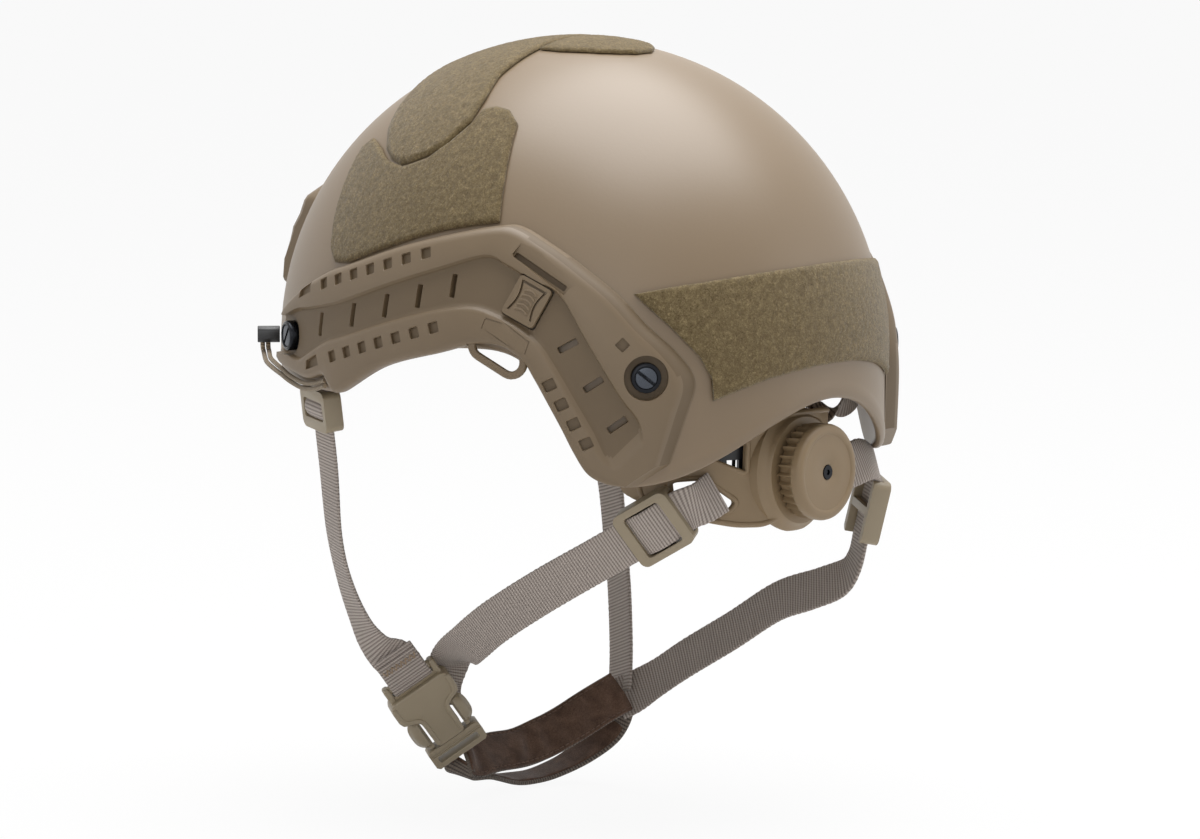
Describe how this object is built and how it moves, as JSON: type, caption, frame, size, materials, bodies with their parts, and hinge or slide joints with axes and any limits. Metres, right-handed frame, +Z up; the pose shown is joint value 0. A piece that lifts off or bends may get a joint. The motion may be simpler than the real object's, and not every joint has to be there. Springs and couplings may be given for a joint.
{
  "type": "combat helmet",
  "caption": "High-cut protective helmet with side accessory rails, a front bracket, loop panels, pads, a nape dial fit system and a chin strap with a side-release buckle.",
  "frame": {"origin": "centre of the shell at its widest level, where the head sits", "axes": "+X towards the wearer's left, -Y towards the front, +Z up"},
  "size_m": [0.2536, 0.2766, 0.3309],
  "materials": {
    "shell_composite": "satin moulded",
    "rail_polymer": "satin moulded",
    "loop_fabric": "looped pile",
    "hook_fabric": "hook tape",
    "pad_cover": "knitted cover",
    "black_hardware": "gloss black",
    "nut_steel": "blackened",
    "black_polymer": "satin moulded",
    "gear_polymer": "natural",
    "spring_steel": "bright",
    "webbing": "woven nylon",
    "elastic_cord": "braided sheath",
    "buckle_polymer": "satin moulded",
    "suede": "suede",
    "chin_webbing": "woven, lined"
  },
  "bodies": {
    "helmet": {"shell": "shell_composite", "rail_left": "rail_polymer", "rail_right": "rail_polymer", "rail_loop_left": "rail_polymer", "rail_loop_right": "rail_polymer", "rail_bolts": "black_hardware", "bolt_nuts": "nut_steel", "strap_anchors": "black_hardware", "front_bracket": "rail_polymer", "bracket_screws": "black_hardware", "bracket_nuts": "nut_steel", "bungee_left": "elastic_cord", "bungee_right": "elastic_cord", "bungee_hook_left": "black_polymer", "bungee_hook_right": "black_polymer", "patch_side_left": "loop_fabric", "patch_side_right": "loop_fabric", "patch_front_top": "loop_fabric", "patch_crown": "loop_fabric", "patch_rear": "loop_fabric", "pad_crown": "pad_cover", "pad_front": "pad_cover", "pad_rear": "pad_cover", "pad_side_left": "pad_cover", "pad_side_right": "pad_cover", "hook_discs": "hook_fabric", "headband_left": "black_polymer", "headband_right": "black_polymer", "nape_yoke": "rail_polymer", "gear_cover": "black_polymer", "cover_screws": "nut_steel", "click_spring": "spring_steel", "nape_pad": "pad_cover", "yoke_strap_left": "webbing", "yoke_strap_right": "webbing", "front_strap_left": "webbing", "front_strap_right": "webbing", "rear_strap_left": "webbing", "rear_strap_right": "webbing", "buckle_socket": "buckle_polymer", "buckle_web": "webbing"},
    "dial": {"dial_knob": "rail_polymer", "dial_pinion": "gear_polymer", "dial_screw": "nut_steel"},
    "rack_left_arm": {"rack_left": "black_polymer"},
    "rack_right_arm": {"rack_right": "black_polymer"},
    "lock_left": {"rail_lock_left": "rail_polymer"},
    "lock_right": {"rail_lock_right": "rail_polymer"},
    "front_left_slider": {"slider_front_left": "buckle_polymer"},
    "front_right_slider": {"slider_front_right": "buckle_polymer"},
    "rear_left_slider": {"slider_rear_left": "buckle_polymer"},
    "rear_right_slider": {"slider_rear_right": "buckle_polymer"},
    "plug": {"buckle_plug": "buckle_polymer", "chin_cup_upper": "suede", "chin_cup_lower": "chin_webbing"},
    "prong_front": {"buckle_prong_front": "buckle_polymer"},
    "prong_rear": {"buckle_prong_rear": "buckle_polymer"}
  },
  "joints": [
    {"name": "dial_spin", "type": "hinge", "parent": "helmet", "child": "dial", "pos_m": [0, 0.1194, -0.046], "axis": [0, 1, 0], "range_deg": [-110, 110]},
    {"name": "rack_left_slide", "type": "hinge", "parent": "helmet", "child": "rack_left_arm", "pos_m": [0, 0.057, -0.046], "axis": [0, 0, 1], "range_deg": [-10.5, 10.5]},
    {"name": "rack_right_slide", "type": "hinge", "parent": "helmet", "child": "rack_right_arm", "pos_m": [0, 0.057, -0.046], "axis": [0, 0, 1], "range_deg": [-10.5, 10.5]},
    {"name": "lock_left_press", "type": "slide", "parent": "helmet", "child": "lock_left", "axis": [-0.9015, -0.3743, -0.2171], "range_m": [0, 0.0012], "stiffness_N_per_m": 800, "springref_m": -0.0005},
    {"name": "lock_right_press", "type": "slide", "parent": "helmet", "child": "lock_right", "axis": [0.9015, -0.3743, -0.2171], "range_m": [0, 0.0012], "stiffness_N_per_m": 800, "springref_m": -0.0005},
    {"name": "front_left_adjust", "type": "slide", "parent": "helmet", "child": "front_left_slider", "axis": [-0.1501, 0.017, -0.9885], "range_m": [0, 0.014]},
    {"name": "front_right_adjust", "type": "slide", "parent": "helmet", "child": "front_right_slider", "axis": [0.118, 0.2439, -0.9626], "range_m": [0, 0.014]},
    {"name": "rear_left_adjust", "type": "slide", "parent": "helmet", "child": "rear_left_slider", "axis": [0.1681, -0.8494, -0.5002], "range_m": [-0.003, 0.015]},
    {"name": "rear_right_adjust", "type": "slide", "parent": "helmet", "child": "rear_right_slider", "axis": [0.0802, -0.2205, -0.9721], "range_m": [0, 0.014]},
    {"name": "buckle_release", "type": "slide", "parent": "helmet", "child": "plug", "axis": [-0.5941, 0.184, -0.7831], "range_m": [0, 0.026]},
    {"name": "prong_front_press", "type": "slide", "parent": "plug", "child": "prong_front", "axis": [-0.56, 0.6042, 0.5668], "range_m": [0, 0.0012], "stiffness_N_per_m": 600, "springref_m": -0.001},
    {"name": "prong_rear_press", "type": "slide", "parent": "plug", "child": "prong_rear", "axis": [0.56, -0.6042, -0.5668], "range_m": [0, 0.0012], "stiffness_N_per_m": 600, "springref_m": -0.001}
  ],
  "couplings": [
    {"joint": "rack_left_slide", "follows": "dial_spin", "ratio": -0.09242},
    {"joint": "rack_right_slide", "follows": "dial_spin", "ratio": 0.09242},
    {"joint": "prong_rear_press", "follows": "prong_front_press", "ratio": 1}
  ]
}
